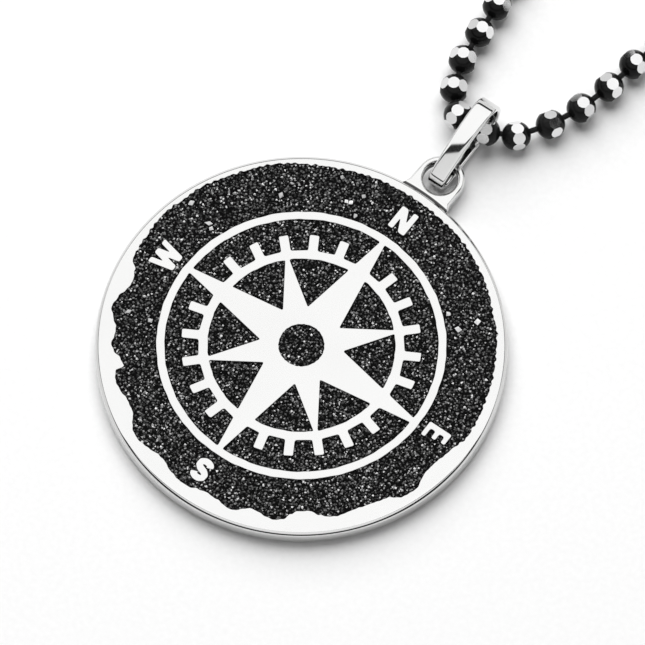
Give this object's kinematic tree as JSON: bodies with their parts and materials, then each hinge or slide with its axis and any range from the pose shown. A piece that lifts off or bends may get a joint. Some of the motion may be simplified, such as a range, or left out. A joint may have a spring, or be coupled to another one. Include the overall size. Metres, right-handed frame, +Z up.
{
  "type": "compass pendant on a bead chain",
  "caption": "Round silver pendant with a raised compass dial in dark sand resin, hung by a strap bail on a closed chain of faceted black beads.",
  "frame": {"origin": "centre of the disc's flat back face, which the pendant rests on", "axes": "+Z up out of the dial, +Y from the disc's centre through its eye to the chain"},
  "size_m": [0.1094, 0.2137, 0.0034],
  "materials": {
    "silver": "polished silver with a fine satin face",
    "sand_resin": "dark resin full of fine black, grey and white sand grains",
    "black_plate": "glossy black plating, with polished silver facets on the beads"
  },
  "bodies": {
    "root": {"pendant_disc": "silver", "sand_field": "sand_resin", "sand_hub": "sand_resin", "sand_rose_1": "sand_resin", "sand_rose_2": "sand_resin", "sand_rose_3": "sand_resin", "sand_rose_4": "sand_resin", "sand_rose_5": "sand_resin", "sand_rose_6": "sand_resin", "sand_rose_7": "sand_resin", "sand_rose_8": "sand_resin", "sand_band_1": "sand_resin", "sand_band_2": "sand_resin", "sand_band_3": "sand_resin", "sand_band_4": "sand_resin", "bail": "silver", "bead_chain": "black_plate", "clasp": "silver"}
  },
  "joints": []
}
